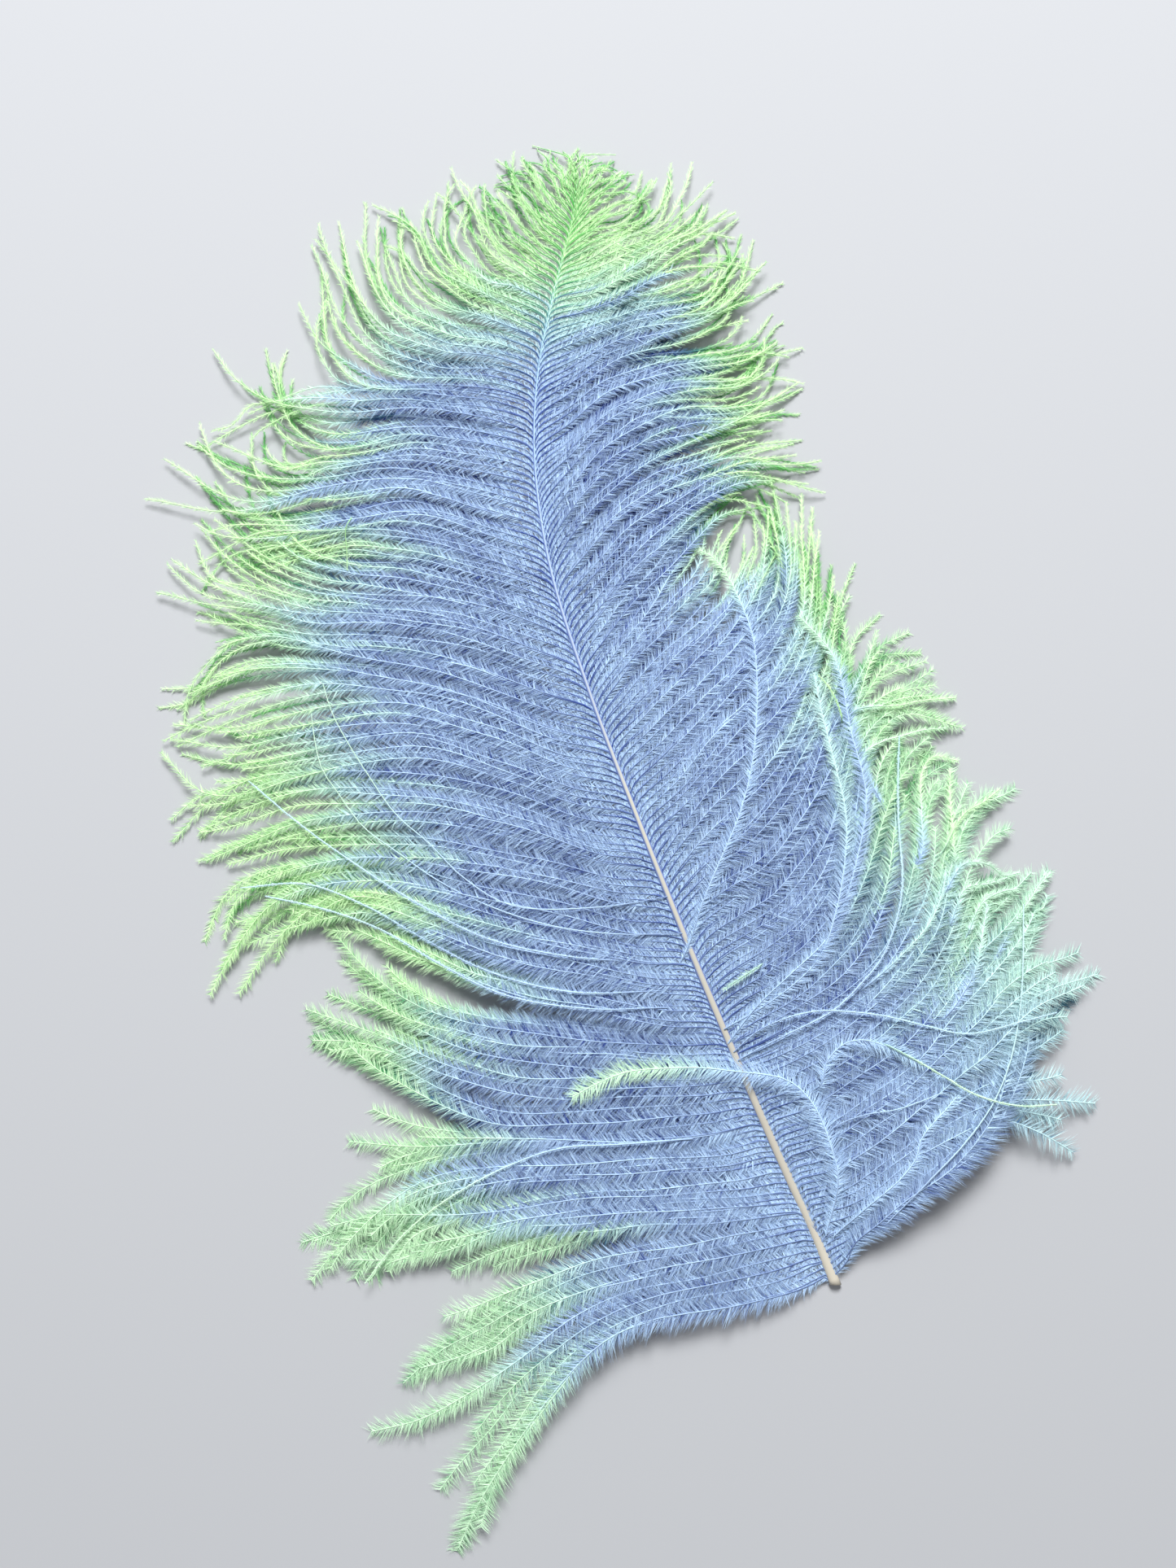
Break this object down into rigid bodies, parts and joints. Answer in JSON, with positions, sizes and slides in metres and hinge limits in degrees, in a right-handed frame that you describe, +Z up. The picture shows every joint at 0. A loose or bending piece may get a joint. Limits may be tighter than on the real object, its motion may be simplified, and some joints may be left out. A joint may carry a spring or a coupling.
{
  "type": "dyed ostrich feather",
  "caption": "A dyed ostrich plume lying flat: a tapering curved shaft with wide soft vanes of long barbs that end in curling tips.",
  "frame": {"origin": "on the resting surface, in the flat underside of the quill, a few millimetres in from its cut end", "axes": "+Y from the cut end of the quill to the tip, +X to the right vane, +Z up from the resting surface"},
  "size_m": [0.2836, 0.4387, 0.0158],
  "materials": {
    "barbs": "soft matte down, lavender blue, dyed lime and mint green at the tips",
    "shaft": "smooth satin horn, cream at the quill and blue grey to green towards the tip"
  },
  "bodies": {
    "root": {"feather": "barbs"}
  },
  "joints": []
}
